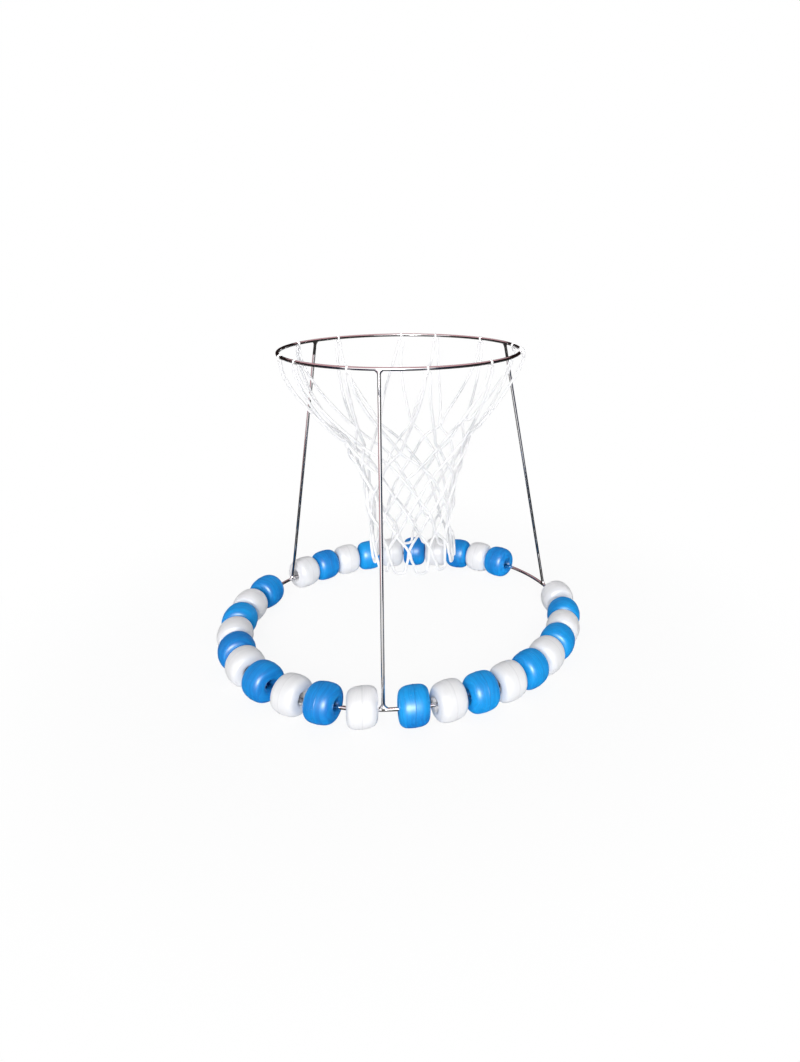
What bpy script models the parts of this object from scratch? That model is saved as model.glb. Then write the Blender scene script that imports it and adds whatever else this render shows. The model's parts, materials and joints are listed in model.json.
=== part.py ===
"""Floating basketball hoop.

A round rim is held above a larger ring of rod by three leaning legs.  Thirty
barrel floats are strung on the lower ring, ten between each pair of legs, in
alternating blue and white.  A knotted net hangs from the rim by twelve ties.

The origin is on the ground under the hoop's centre, +Z is up and the front leg
stands towards -Y.  Headings are measured from the front leg, towards +X.
"""
import math

import bmesh
import bpy
from mathutils import Matrix, Vector

MM = 0.001

# Clearance between two pieces that touch
clearance = 0.3*MM

# Rim
rim_inside_diameter = 450*MM
rim_rod_diameter = 6.5*MM
rim_height_above_ring = 542*MM
rim_steps = 96

# Float ring
float_ring_diameter = 642*MM
float_ring_rod_diameter = 6.5*MM
float_ring_steps = 60
rod_sides = 8

# Legs, set a few degrees off their even thirds, and the weld at each end of a leg
leg_names = ("front", "right", "left")
leg_foot_turns = (math.radians(1.6), math.radians(-2.8), math.radians(-2.3))
leg_top_turns = (math.radians(-1.4), math.radians(0.3), math.radians(-1.7))
leg_rod_diameter = 6*MM
leg_sides = 10
weld_half_width = 6*MM
weld_half_height = 4*MM
weld_half_depth = 3.5*MM
weld_lift = 1*MM

# Floats
floats_per_third = 10
float_diameter = 66*MM
float_length = 51*MM
float_crown_length = 16*MM
float_shoulder_diameter = 59.5*MM
float_shoulder_depth = 7*MM
float_end_diameter = 50*MM
float_end_bulge = 2*MM
float_bore_diameter = 15*MM
float_mouth_diameter = 26*MM
float_neck_length = 9*MM
float_sides = 12

# Spare length of the ring's rod before the first float of each third, between its
# floats and after the last one, as shares of all the spare length in that third
float_gap_shares = (
    (0.166, 0.023, 0.056, 0.015, 0.015, 0.015, 0.015, 0.015, 0.015, 0.227, 0.438),
    (0.937, 0.0055, 0.0055, 0.0055, 0.0055, 0.0055, 0.0055, 0.0055, 0.0055, 0.0055, 0.0135),
    (0.346, 0.107, 0.053, 0.047, 0.055, 0.046, 0.087, 0.129, 0.056, 0.058, 0.016),
)
# A float with room beside it can lie askew on the rod, until its mouth's edge meets the
# rod; by the float's number, the share of that turn
float_turn_shares = {1: 0.2, 2: 0.7, 30: 1.0}

# Net
net_loop_count = 12
net_cord_diameter = 6*MM
net_knot_diameter = 11*MM
net_drop = 421*MM
net_loop_half_width = 7.5*MM
net_loop_rise = 9*MM
net_first_heading = math.radians(18)
# How far each loop's tie has slid along the rim, as shares of the loops' spacing
net_tie_slide_shares = (0.02, 0.07, 0.32, 0.07, 0.09, 0.03, -0.33, -0.15, -0.20, 0.33, -0.09, -0.10)
net_row_drop_shares = (0.404, 0.475, 0.551, 0.637, 0.727, 0.819)
net_row_radius_shares = (0.535, 0.482, 0.423, 0.384, 0.366, 0.332)
net_hem_radius_share = 0.345
net_sag_power = 1.45
net_spread_power = 2.0
net_upper_steps = 4
net_hem_steps = 6
net_hem_fullness = 0.6
net_knot_offset = 0.7*MM
net_drift = 14*MM
net_drift_end_share = 0.55
net_cord_resolution = 1

# Ties that hold the net to the rim
tie_width = 3*MM
tie_thickness = 1.2*MM
tie_upper_steps = 10
tie_lower_steps = 6
net_tie_room = 1.2*MM

merge_distance = clearance/100
smooth_angle = math.radians(35)
leg_count = len(leg_names)
rim_radius = rim_inside_diameter/2 + rim_rod_diameter/2
float_ring_radius = float_ring_diameter/2
third = 2*math.pi/leg_count


# Sideways room of the ring's rod in a float's bore and mouth, with the ring's bend off it
float_ring_sag = float_ring_radius*(1 - math.cos(math.pi/float_ring_steps))
float_end_bend = float_ring_radius*(1 - math.cos(float_length/2/float_ring_radius)) + float_ring_sag
float_bore_play = float_bore_diameter/2 - float_ring_rod_diameter/2 - clearance
float_mouth_play = float_mouth_diameter/2 - float_ring_rod_diameter/2 - clearance
float_end_room = math.sqrt(float_mouth_play**2 - float_bore_play**2) - float_end_bend
float_largest_turn = math.atan(float_end_room/(float_length/2))

# The ring lies low in the bores, and clears the neck of a float as far askew as it can be
float_neck_slant = float_neck_length/2*math.tan(float_largest_turn) + float_ring_sag
float_centre_height = float_diameter/2
float_ring_height = float_centre_height - math.sqrt(float_bore_play**2 - float_neck_slant**2)
rim_height = float_ring_height + rim_height_above_ring


def point_on_circle(radius, heading, height):
    """A point at a heading from the front leg, which stands towards -Y."""
    return Vector((radius*math.sin(heading), -radius*math.cos(heading), height))


def outward(heading):
    return point_on_circle(1, heading, 0)


def along(heading):
    return Vector((math.cos(heading), math.sin(heading), 0))


def frame_matrix(x_axis, y_axis, z_axis, place):
    """A placement whose columns are three perpendicular axes and an origin."""
    turn = Matrix((x_axis, y_axis, z_axis)).transposed().to_4x4()
    return Matrix.Translation(place) @ turn


def clear_scene():
    for old in list(bpy.data.objects):
        bpy.data.objects.remove(old, do_unlink=True)


def new_collection(name):
    made = bpy.data.collections.new(name)
    bpy.context.scene.collection.children.link(made)
    return made


def new_material(name, colour, roughness, metallic=0.0):
    made = bpy.data.materials.new(name)
    made.use_nodes = True
    shader = made.node_tree.nodes["Principled BSDF"]
    shader.inputs["Base Color"].default_value = (*colour, 1)
    shader.inputs["Roughness"].default_value = roughness
    shader.inputs["Metallic"].default_value = metallic
    return made


def keep(piece, name, home, material=None):
    """Name a piece, give it its material and move it to its collection."""
    piece.name = name
    for old in list(piece.users_collection):
        old.objects.unlink(piece)
    home.objects.link(piece)
    if material:
        piece.data.materials.clear()
        piece.data.materials.append(material)
    return piece


def smooth(piece):
    piece.data.shade_smooth()
    piece.data.set_sharp_from_angle(angle=smooth_angle)


def add_boolean(piece, other, operation):
    cut = piece.modifiers.new(operation.title(), "BOOLEAN")
    cut.operation = operation
    cut.object = other
    return cut


def hide_cutter(piece):
    piece.hide_render = True
    piece.display_type = "WIRE"


def mesh_from_curve(curve_object, name, home, material):
    """The curve's solid as a mesh object with its end caps welded."""
    bpy.context.view_layer.update()
    evaluated = curve_object.evaluated_get(bpy.context.evaluated_depsgraph_get())
    mesh = bpy.data.meshes.new_from_object(evaluated)
    welder = bmesh.new()
    welder.from_mesh(mesh)
    bmesh.ops.remove_doubles(welder, verts=welder.verts, dist=merge_distance)
    bmesh.ops.recalc_face_normals(welder, faces=welder.faces)
    welder.to_mesh(mesh)
    welder.free()
    piece = bpy.data.objects.new(name, mesh)
    piece.matrix_world = curve_object.matrix_world
    bpy.data.objects.remove(curve_object, do_unlink=True)
    return keep(piece, name, home, material)


def make_torus(name, home, radius, rod_radius, height, steps, material=None):
    bpy.ops.mesh.primitive_torus_add(
        major_segments=steps, minor_segments=rod_sides,
        major_radius=radius, minor_radius=rod_radius, location=(0, 0, height))
    piece = keep(bpy.context.object, name, home, material)
    smooth(piece)
    return piece


def make_leg(index, home, tools, material, cutters):
    """One leg, coped round both rings and swollen by a weld at each end."""
    name = leg_names[index]
    foot_heading = index*third + leg_foot_turns[index]
    top_heading = index*third + leg_top_turns[index]
    foot = point_on_circle(float_ring_radius, foot_heading, float_ring_height)
    top = point_on_circle(rim_radius, top_heading, rim_height)
    axis = (top - foot).normalized()
    depth = axis.cross(along((foot_heading + top_heading)/2)).normalized()
    side = depth.cross(axis)
    bpy.ops.mesh.primitive_cylinder_add(
        vertices=leg_sides, radius=leg_rod_diameter/2, depth=(top - foot).length)
    leg = keep(bpy.context.object, f"leg_{name}", home, material)
    leg.matrix_world = frame_matrix(side, depth, axis, (foot + top)/2)
    weld_shape = Matrix.Diagonal((weld_half_width, weld_half_depth, weld_half_height, 1))
    ends = (("foot", foot, axis, float_ring_rod_diameter), ("top", top, -axis, rim_rod_diameter))
    for end_name, end, inward, rod_diameter in ends:
        bpy.ops.mesh.primitive_uv_sphere_add(segments=leg_sides, ring_count=leg_sides//2, radius=1)
        weld = keep(bpy.context.object, f"weld_{name}_{end_name}", tools)
        weld.data.transform(weld_shape)
        centre = end + inward*(rod_diameter/2 + weld_lift)
        weld.matrix_world = frame_matrix(side, depth, axis, centre)
        hide_cutter(weld)
        add_boolean(leg, weld, "UNION")
    for cutter in cutters:
        add_boolean(leg, cutter, "DIFFERENCE")
    smooth(leg)
    return leg


def float_round(diameter):
    """Radius of a faceted round whose flats, not its corners, lie at the true radius."""
    return diameter/2/math.cos(math.pi/float_sides)


def float_end_rounds():
    """Radius of each edge round a float's end, and how far it lies back from the end."""
    return [(float_round(float_mouth_diameter), 0.0),
            (float_round(float_end_diameter), float_end_bulge),
            (float_round(float_shoulder_diameter), float_shoulder_depth)]


def float_profile():
    """Half section of a float, down its outer side and back up its bore."""
    half = float_length/2
    upper = [(float_round(float_bore_diameter), float_neck_length/2)]
    upper += [(radius, half - depth) for radius, depth in float_end_rounds()]
    upper += [(float_round(float_diameter), float_crown_length/2)]
    lower = [(radius, -height) for radius, height in reversed(upper)]
    return upper + lower


def float_mesh():
    outline = float_profile()
    mesh = bpy.data.meshes.new("float_profile")
    points = [(radius, 0, height) for radius, height in outline]
    edges = [(i, (i + 1) % len(points)) for i in range(len(points))]
    mesh.from_pydata(points, edges, [])
    return mesh


def float_turn(number):
    """How far a float lies askew on the ring's rod."""
    return float_largest_turn*float_turn_shares.get(number, 0)


def room_after_float(number):
    """Length that keeps a float off the next one where the ring bends or one lies askew."""
    askew = float_turn(number + 1) - float_turn(number)
    turn = abs(float_length/float_ring_radius + askew)
    return clearance + max(radius*turn - 2*depth for radius, depth in float_end_rounds())


def float_headings(which):
    """Headings of the floats of one third, from the spare lengths between them."""
    start = which*third + leg_foot_turns[which]
    end = (which + 1)*third + leg_foot_turns[(which + 1) % leg_count]
    leg_room = weld_half_width + clearance
    first = which*floats_per_third + 1
    rooms = [room_after_float(first + place) for place in range(floats_per_third - 1)]
    taken = 2*leg_room + floats_per_third*float_length + sum(rooms)
    spare = (end - start)*float_ring_radius - taken
    shares = float_gap_shares[which]
    travelled = leg_room
    headings = []
    for share, room in zip(shares, rooms + [leg_room]):
        travelled += spare*share/sum(shares)
        headings.append(start + (travelled + float_length/2)/float_ring_radius)
        travelled += float_length + room
    return headings


def make_float(number, heading, mesh, home, material, colour_name):
    piece = bpy.data.objects.new("float", mesh.copy())
    keep(piece, f"float_{number:02d}_{colour_name}", home, material)
    turned = piece.modifiers.new("Turn", "SCREW")
    turned.axis = "Z"
    turned.steps = float_sides
    turned.render_steps = float_sides
    turned.use_merge_vertices = True
    turned.merge_threshold = merge_distance
    turned.use_smooth_shade = True
    facing = heading + float_turn(number)
    tangent = along(facing)
    down = Vector((0, 0, -1))
    half_step = math.pi/float_sides
    first_corner = down*math.cos(half_step) + outward(facing)*math.sin(half_step)
    centre = point_on_circle(float_ring_radius, heading, float_centre_height)
    piece.matrix_world = frame_matrix(first_corner, tangent.cross(first_corner), tangent, centre)
    return piece


def make_floats(home, blue, white):
    mesh = float_mesh()
    number = 0
    for which in range(leg_count):
        for place, heading in enumerate(float_headings(which)):
            number += 1
            colour_name, material = (("blue", blue), ("white", white))[place % 2]
            make_float(number, heading, mesh, home, material, colour_name)


def net_hang_height():
    """Height of a cord's centre where it hangs under the rim."""
    return rim_height - rim_rod_diameter/2 - clearance - net_cord_diameter/2


def net_point(radius, heading, drop):
    """A point of the net; the lower net hangs a little to one side."""
    place = point_on_circle(radius, heading, rim_height - drop)
    drift_share = min(1.0, drop/(net_drop*net_drift_end_share))
    place.x += net_drift*drift_share**2
    return place


def net_heading(loop):
    """Heading of a loop's middle; every other row has its knots half way between two loops."""
    return net_first_heading + loop*2*math.pi/net_loop_count


def tie_heading(loop):
    return net_heading(loop + net_tie_slide_shares[loop])


def upper_strand_point(loop, side, share):
    """A point of one strand between its loop's top and the first row of knots."""
    hang = rim_height - net_hang_height()
    loop_end = hang + net_loop_rise
    drop = loop_end + (net_drop*net_row_drop_shares[0] - loop_end)*share
    knot_radius = rim_radius*net_row_radius_shares[0]
    radius = rim_radius - (rim_radius - knot_radius)*share**net_sag_power
    narrow = net_loop_half_width/rim_radius
    wide = math.pi/net_loop_count
    spread = narrow + (wide - narrow)*share**net_spread_power
    middle = tie_heading(loop)*(1 - share) + net_heading(loop)*share
    return net_point(radius, middle + side*spread, drop)


def knot_place(row, number, layer):
    """Where a strand passes a knot; the two strands there lie one over the other."""
    shift = math.pi/net_loop_count*((row + 1) % 2)
    radius = rim_radius*net_row_radius_shares[row] + layer*net_knot_offset
    return net_point(radius, net_heading(number) + shift, net_drop*net_row_drop_shares[row])


def strand_knots(loop, side):
    """Knots that a strand passes on its way down, one step round for each row."""
    rows = range(len(net_row_drop_shares))
    first = loop if side > 0 else loop - 1
    return [knot_place(row, first + side*((row + (side > 0)) // 2), side) for row in rows]


def loop_cord_places(loop):
    """Cord of one loop: up one strand, under the rim and down the other strand."""
    shares = [step/net_upper_steps for step in range(net_upper_steps)]
    left = [upper_strand_point(loop, -1, share) for share in shares] + strand_knots(loop, -1)
    right = [upper_strand_point(loop, 1, share) for share in shares] + strand_knots(loop, 1)
    seat = (tie_width/2 + net_tie_room)/rim_radius
    hang = rim_height - net_hang_height()
    top = [net_point(rim_radius, tie_heading(loop) + turn, hang) for turn in (-seat, seat)]
    return left[::-1] + top + right


def hem_cord_places(loop):
    """A loop that hangs between two neighbouring knots of the last row."""
    last_row = len(net_row_drop_shares) - 1
    places = [knot_place(last_row, loop, 1/2)]
    pitch = 2*math.pi/net_loop_count
    last_share = net_row_radius_shares[-1]
    for step in range(1, net_hem_steps):
        turn = math.pi*step/net_hem_steps
        down = math.sin(turn)**net_hem_fullness
        drop = net_drop*(net_row_drop_shares[-1] + (1 - net_row_drop_shares[-1])*down)
        radius = rim_radius*(last_share + (net_hem_radius_share - last_share)*down)
        places.append(net_point(radius, net_heading(loop) + pitch*(1 - math.cos(turn))/2, drop))
    return places + [knot_place(last_row, loop + 1, -1/2)]


def make_cord(places, name, home, material):
    curve = bpy.data.curves.new(name, "CURVE")
    curve.dimensions = "3D"
    curve.bevel_depth = net_cord_diameter/2
    curve.bevel_resolution = net_cord_resolution
    curve.use_fill_caps = True
    spline = curve.splines.new("POLY")
    spline.points.add(len(places) - 1)
    for point, place in zip(spline.points, places):
        point.co = (*place, 1)
    piece = bpy.data.objects.new(name, curve)
    bpy.context.scene.collection.objects.link(piece)
    return mesh_from_curve(piece, name, home, material)


def make_hem_knot(loop, home):
    """The knot that ends two strands and holds the loops on either side of it."""
    ball = bmesh.new()
    bmesh.ops.create_icosphere(ball, subdivisions=1, radius=net_knot_diameter/2)
    mesh = bpy.data.meshes.new("net_knot")
    ball.to_mesh(mesh)
    ball.free()
    knot = keep(bpy.data.objects.new("knot", mesh), f"net_knot_{loop + 1:02d}", home)
    knot.location = knot_place(len(net_row_drop_shares) - 1, loop, 0)


def make_net(home, material):
    """The whole net as one piece of cord, joined where its strands cross."""
    strands = new_collection("net_strands")
    for loop in range(net_loop_count):
        make_cord(loop_cord_places(loop), f"net_cord_{loop + 1:02d}", strands, material)
        make_cord(hem_cord_places(loop), f"net_hem_{loop + 1:02d}", strands, material)
        make_hem_knot(loop, strands)
    for strand in strands.objects:
        hide_cutter(strand)
    net = keep(strands.objects["net_cord_01"], "net", home)
    net.hide_render = False
    net.display_type = "TEXTURED"
    joined = net.modifiers.new("Join", "BOOLEAN")
    joined.operation = "UNION"
    joined.operand_type = "COLLECTION"
    joined.collection = strands
    smooth(net)
    return net


def belt_outline(upper_radius, lower_radius, spacing):
    """Points of a belt round an upper circle at the origin and a lower one below it."""
    contact = math.acos((upper_radius - lower_radius)/spacing)
    points = []
    for step in range(tie_upper_steps + 1):
        turn = -math.pi/2 + contact + (2*math.pi - 2*contact)*step/tie_upper_steps
        points.append((upper_radius*math.cos(turn), upper_radius*math.sin(turn)))
    for step in range(tie_lower_steps + 1):
        turn = -math.pi/2 - contact + 2*contact*step/tie_lower_steps
        points.append((lower_radius*math.cos(turn), lower_radius*math.sin(turn) - spacing))
    return points


def make_tie(loop, home, material):
    """A flat band round the rim's rod and the top of one loop of the net."""
    spacing = rim_height - net_hang_height()
    curve = bpy.data.curves.new("tie", "CURVE")
    curve.dimensions = "2D"
    curve.fill_mode = "BOTH"
    curve.extrude = tie_width/2
    for grow in (clearance + tie_thickness, clearance):
        outline = belt_outline(rim_rod_diameter/2 + grow, net_cord_diameter/2 + grow, spacing)
        spline = curve.splines.new("POLY")
        spline.points.add(len(outline) - 1)
        for point, (x, y) in zip(spline.points, outline):
            point.co = (x, y, 0, 1)
        spline.use_cyclic_u = True
    piece = bpy.data.objects.new("tie", curve)
    home.objects.link(piece)
    heading = tie_heading(loop)
    radial = outward(heading)
    up = Vector((0, 0, 1))
    place = point_on_circle(rim_radius, heading, rim_height)
    piece.matrix_world = frame_matrix(radial, up, radial.cross(up), place)
    tie = mesh_from_curve(piece, f"net_tie_{loop + 1:02d}", home, material)
    smooth(tie)
    return tie


def main():
    clear_scene()
    parts = new_collection("floating_basketball_hoop")
    tools = new_collection("cutters")

    steel = new_material("polished_steel", (0.62, 0.61, 0.63), 0.18, 1.0)
    blue = new_material("blue_plastic", (0.02, 0.26, 0.78), 0.28)
    white = new_material("white_plastic", (0.86, 0.87, 0.88), 0.30)
    cord = new_material("white_cord", (0.90, 0.90, 0.90), 0.80)
    band = new_material("white_band", (0.88, 0.88, 0.88), 0.45)

    make_torus("rim", parts, rim_radius, rim_rod_diameter/2, rim_height, rim_steps, steel)
    make_torus("float_ring", parts, float_ring_radius, float_ring_rod_diameter/2,
               float_ring_height, float_ring_steps, steel)
    cutters = [
        make_torus("rim_cope", tools, rim_radius, rim_rod_diameter/2 + clearance,
                   rim_height, rim_steps),
        make_torus("float_ring_cope", tools, float_ring_radius,
                   float_ring_rod_diameter/2 + clearance, float_ring_height, float_ring_steps)]
    for cutter in cutters:
        hide_cutter(cutter)
    for index in range(leg_count):
        make_leg(index, parts, tools, steel, cutters)
    make_floats(parts, blue, white)
    for loop in range(net_loop_count):
        make_tie(loop, parts, band)
    make_net(parts, cord)


main()
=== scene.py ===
"""Floating basketball hoop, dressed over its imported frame.

The rods, floats, ties and net are modelled here in fine mesh and take the
place of the frame's plain solids. Everything is in metres, +Z is up, the
front leg stands towards -Y and headings run from it towards +X.
"""

import json
import math

import bmesh
import bpy
from bpy.props import FloatProperty, FloatVectorProperty, IntProperty, PointerProperty
from mathutils import Matrix, Vector


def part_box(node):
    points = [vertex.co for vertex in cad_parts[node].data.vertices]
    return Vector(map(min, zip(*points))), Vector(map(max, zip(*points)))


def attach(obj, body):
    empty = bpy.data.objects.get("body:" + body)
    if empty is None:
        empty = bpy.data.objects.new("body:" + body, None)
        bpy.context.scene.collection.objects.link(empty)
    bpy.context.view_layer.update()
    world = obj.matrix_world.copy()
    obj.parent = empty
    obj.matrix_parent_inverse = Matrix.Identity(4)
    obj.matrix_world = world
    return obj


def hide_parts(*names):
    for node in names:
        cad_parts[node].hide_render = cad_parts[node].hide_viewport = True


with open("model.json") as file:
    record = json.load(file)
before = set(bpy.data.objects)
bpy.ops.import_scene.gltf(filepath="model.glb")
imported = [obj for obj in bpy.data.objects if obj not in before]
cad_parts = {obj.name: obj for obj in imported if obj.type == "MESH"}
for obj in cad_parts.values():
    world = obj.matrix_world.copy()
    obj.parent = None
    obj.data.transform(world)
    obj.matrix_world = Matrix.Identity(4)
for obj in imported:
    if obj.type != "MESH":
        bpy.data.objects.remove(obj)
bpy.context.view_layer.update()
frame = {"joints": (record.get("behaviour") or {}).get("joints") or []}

bl_info = {
    "name": "Floating basketball hoop",
    "version": (1, 0, 0),
    "blender": (4, 5, 0),
    "location": "3D View > Sidebar > Hoop",
    "description": "Adds the rods, floats, ties and net of a floating basketball hoop",
    "category": "Add Mesh",
}

MM = 0.001
UP = Vector((0, 0, 1))

# Feet and tops of the legs, turned a little off their even thirds
leg_names = ("front", "right", "left")
leg_foot_turns = (math.radians(1.6), math.radians(-2.8), math.radians(-2.3))
leg_top_turns = (math.radians(-1.4), math.radians(0.3), math.radians(-1.7))

# Turn of each float from the one before, so that no two show the same side
float_turn = math.radians(137.5)

# Thickness of both rings' rod, faces round a rod and along a ring, and each step of a butt
# weld's swell
ring_rod_diameter = 6.5*MM
rod_sides = 20
ring_steps = 240
butt_weld_swell = 1.02

# The net's twelve loops: where each is tied, and the rows of knots below them
net_loops = 12
net_first_heading = math.radians(18)
net_tie_slide_shares = (0.02, 0.07, 0.32, 0.07, 0.09, 0.03, -0.33, -0.15, -0.20, 0.33, -0.09, -0.10)
net_row_drop_shares = (0.404, 0.475, 0.551, 0.637, 0.727, 0.819)
net_row_radius_shares = (0.535, 0.482, 0.423, 0.384, 0.366, 0.332)
net_rows = len(net_row_drop_shares)
loop_spacing = 2*math.pi/net_loops
net_hem_radius_share = 0.345
net_hem_crossing_share = 0.89
net_sag_power = 1.45
net_spread_power = 2.0
net_drift_end_share = 0.55

# How far knots stray from the pattern: aside in loop spacings, and down as a share of the drop
knot_stray_aside = 0.05
knot_stray_drop = 0.006

# How far a strand passes over or under a knot's middle, in cord thicknesses
strand_lift_share = 0.36
hem_lift_share = 0.3

# Loops wrapped over the outside of the rim, the share of a strand at which they are back
# under it, and how their bands are turned and stretched
net_wrapped_loops = (2,)
wrap_end_share = 0.3
wrapped_tie_turn = Matrix.Rotation(math.radians(60), 4, "Z")
wrapped_tie_stretch = Matrix.Diagonal((1.08, 1.04, 1.8, 1))

# Half the width of a hem loop's belly, in loop spacings; its neighbours cross it at a half
net_hem_belly_share = 0.34

# Colours of the boards that the steel reflects
flag_maroon = (0.018, 0.009, 0.009)
flag_navy = (0.014, 0.030, 0.090)
flag_grey = (0.045, 0.045, 0.042)
flag_rose = (0.80, 0.48, 0.51)
flag_white = (1.6, 1.6, 1.6)

# Knots of the first row that are pulled aside: share of the loops' spacing to the right,
# and shares of the net's drop and of the rim's radius
net_pulled_knots = {
    0: (0.10, -0.006, 0.0), 2: (0.0, -0.040, 0.055), 3: (0.0, -0.035, 0.045),
    8: (0.0, -0.020, 0.020), 10: (-0.10, -0.014, 0.0), 11: (-0.07, -0.006, 0.0)}

# Half section of a float: radius and height as shares of the float's half diameter and length
float_section_shares = (
    (1.000, 0.00), (0.998, 0.14), (0.990, 0.30), (0.977, 0.46), (0.948, 0.61),
    (0.902, 0.73), (0.840, 0.835), (0.760, 0.912), (0.655, 0.958), (0.540, 0.985), (0.450, 0.998))


def box_middle(node):
    low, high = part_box(node)
    return (low + high)/2


def ring_default(node):
    """Radius of the middle line of a ring of rod in the frame."""
    low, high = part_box(node)
    return (high.x - low.x - ring_rod_diameter)/2


def length_property(name, description, default, precision=4):
    """A length that a user can change."""
    return FloatProperty(
        name=name, description=description, default=default, unit="LENGTH", precision=precision)


def colour_property(name, description, default):
    """A colour that a user can change."""
    return FloatVectorProperty(
        name=name, description=description, default=default, size=3, subtype="COLOR", min=0, max=1)


class RodSizes(bpy.types.PropertyGroup):
    """Sizes of the two rings, the legs and their welds"""
    rim_rod: length_property("Rim rod", "Thickness of the rim's rod", ring_rod_diameter)
    rim_radius: length_property(
        "Rim radius", "Radius of the rim's middle line", ring_default("rim"))
    rim_height: length_property(
        "Rim height", "Height of the rim's middle line", box_middle("rim").z)
    ring_rod: length_property(
        "Float ring rod", "Thickness of the float ring's rod", ring_rod_diameter)
    ring_radius: length_property(
        "Float ring radius", "Radius of the float ring's middle line", ring_default("float_ring"))
    ring_height: length_property(
        "Float ring height", "Height of the float ring's middle line", box_middle("float_ring").z)
    leg_rod: length_property("Leg rod", "Thickness of a leg's rod", 6*MM)
    weld_reach: length_property(
        "Weld reach", "How far a weld runs along a ring on each side of a leg", 8.5*MM)
    weld_height: length_property(
        "Weld height", "How far a weld climbs a leg from the ring's rod", 8*MM)


class FloatSizes(bpy.types.PropertyGroup):
    """Sizes of one barrel float"""
    diameter: length_property("Diameter", "Greatest diameter of a float", 66*MM)
    length: length_property("Length", "Length of a float along the ring", 51*MM)
    bore: length_property("Bore", "Diameter of the hole through a float", 15*MM)
    mouth_depth: length_property(
        "Mouth depth", "Depth over which the rolled mouth narrows to the bore", 13*MM)
    seam_height: length_property(
        "Seam height", "Height of the mould seam round the middle", 0.25*MM, precision=5)
    seam_width: length_property(
        "Seam width", "Width of the mould seam round the middle", 0.9*MM, precision=5)
    sides: IntProperty(
        name="Sides", description="Faces round a float before it is smoothed",
        default=36, min=12)


class NetSizes(bpy.types.PropertyGroup):
    """Sizes of the knotted net and its ties"""
    cord: length_property("Cord", "Thickness of the net's cord", 5.2*MM)
    drop: length_property(
        "Drop", "Length of the net below the rim's middle line", 421*MM, precision=3)
    loop_half_width: length_property(
        "Loop half width", "Half the width of a loop just under its tie", 4.5*MM)
    loop_rise: length_property("Loop rise", "Height of the bend at the top of a loop", 7*MM)
    drift: length_property("Drift", "How far the lower net hangs to one side", 14*MM)
    hem_drift: length_property("Hem drift", "How much further the hem hangs to that side", 7*MM)
    tie_width: length_property(
        "Tie width", "Width of the band that holds a loop to the rim", 3*MM)
    tie_thickness: length_property(
        "Tie thickness", "Thickness of the band that holds a loop to the rim", 1.2*MM)


class FinishColours(bpy.types.PropertyGroup):
    """Colours of the materials"""
    steel: colour_property("Steel", "Polished steel of the rods", (0.66, 0.65, 0.66))
    blue: colour_property("Blue", "Blue plastic of every other float", (0.0010, 0.350, 0.840))
    blue_deep: colour_property("Deep blue", "Blue plastic where it is darkest", (0.0006, 0.180, 0.580))
    white: colour_property("White", "White plastic of every other float", (0.83, 0.83, 0.84))
    white_deep: colour_property("Deep white", "White plastic where it is darkest", (0.76, 0.765, 0.78))
    cord: colour_property("Cord", "White cord of the net", (0.91, 0.91, 0.92))
    band: colour_property("Band", "White bands that hold the net", (0.90, 0.90, 0.90))
    floor: colour_property("Floor", "Pale floor under the hoop", (0.92, 0.92, 0.92))


class StudioSettings(bpy.types.PropertyGroup):
    """The camera's place and the studio's lamps"""
    camera_distance: length_property(
        "Camera distance", "Distance of the camera from the hoop's axis", 1.5162, precision=3)
    camera_height: length_property(
        "Camera height", "Height of the camera above the float ring", 0.757, precision=3)
    key_strength: FloatProperty(
        name="Key light", description="Strength of the soft light behind the camera",
        default=1.8)
    key_angle: FloatProperty(
        name="Key angle", description="How wide the soft light looks from the hoop",
        default=math.radians(22), subtype="ANGLE")
    glint_strength: FloatProperty(
        name="Glint", description="Strength of the light that shows only as a highlight",
        default=24.0)
    room_light: FloatProperty(
        name="Room light", description="Strength of the plain light from all round",
        default=0.58)
    flag_light: FloatProperty(
        name="Flag brightness", description="Strength of the boards that the steel reflects",
        default=1.0)


def rods():
    return bpy.context.scene.hoop_rods


def floats():
    return bpy.context.scene.hoop_floats


def net_sizes():
    return bpy.context.scene.hoop_net


def colours():
    return bpy.context.scene.hoop_colours


def studio():
    return bpy.context.scene.hoop_studio


def point_on_circle(radius, heading, height):
    return Vector((radius*math.sin(heading), -radius*math.cos(heading), height))


def along(heading):
    return Vector((math.cos(heading), math.sin(heading), 0))


def placement(x_axis, y_axis, z_axis, place):
    """A placement whose columns are three perpendicular axes and an origin."""
    turn = Matrix((x_axis, y_axis, z_axis)).transposed().to_4x4()
    return Matrix.Translation(place) @ turn


def start_piece(name, add, **settings):
    """Add a primitive, name it and open it for shaping, all selected."""
    bpy.ops.object.select_all(action="DESELECT")
    add(**settings)
    piece = bpy.context.object
    piece.name = name
    piece.data.name = name
    bpy.ops.object.mode_set(mode="EDIT")
    bpy.ops.mesh.select_mode(type="VERT")
    bpy.ops.mesh.select_all(action="SELECT")
    return piece


def select_where(piece, test):
    """Select the vertices whose place passes a test, in edit mode."""
    shape = bmesh.from_edit_mesh(piece.data)
    for vertex in shape.verts:
        vertex.select_set(test(vertex.co))
    shape.select_flush_mode()
    bmesh.update_edit_mesh(piece.data)


def merge_and_face_outwards():
    bpy.ops.mesh.select_all(action="SELECT")
    bpy.ops.mesh.remove_doubles(threshold=0.01*MM)
    bpy.ops.mesh.normals_make_consistent(inside=False)


def end_shaping():
    bpy.ops.object.mode_set(mode="OBJECT")


def only(piece):
    """Make one piece the only selected and active object."""
    bpy.ops.object.select_all(action="DESELECT")
    piece.select_set(True)
    bpy.context.view_layer.objects.active = piece


def apply_place(piece):
    only(piece)
    bpy.ops.object.transform_apply(location=True, rotation=True, scale=True)


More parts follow.
